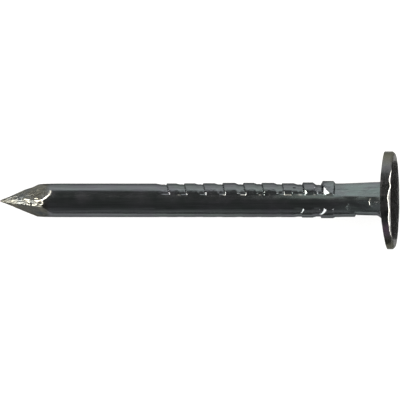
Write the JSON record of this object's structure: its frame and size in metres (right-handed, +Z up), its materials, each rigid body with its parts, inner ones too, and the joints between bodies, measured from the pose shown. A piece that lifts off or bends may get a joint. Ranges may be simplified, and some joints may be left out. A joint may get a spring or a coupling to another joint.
{
  "type": "clout nail",
  "caption": "Large-headed clout nail of zinc-coated steel wire, with a diamond point, a serrated upper shank and a pinched neck, lying loose on a surface.",
  "frame": {"origin": "under the middle of the nail's box, on the flat surface that it lies on", "axes": "+X towards the head, with the point at -X; +Z up from the surface; the gripping dies close along Y. The nail's own axis climbs 5.30 degrees towards the head, because it rests on the head's rim and the point's shoulder."},
  "size_m": [0.0402, 0.0098, 0.0099],
  "materials": {
    "head_zinc": "zinc-coated upset steel, dull on the struck face and bright on the rim's edge",
    "shank_zinc": "bright zinc over drawn wire, with fine lines along it",
    "point_zinc": "zinc over pinched steel, rough and bright along the ridges"
  },
  "bodies": {
    "root": {"head": "head_zinc", "neck": "shank_zinc", "serrated_shank": "shank_zinc", "plain_shank": "shank_zinc", "point": "point_zinc"}
  },
  "joints": []
}
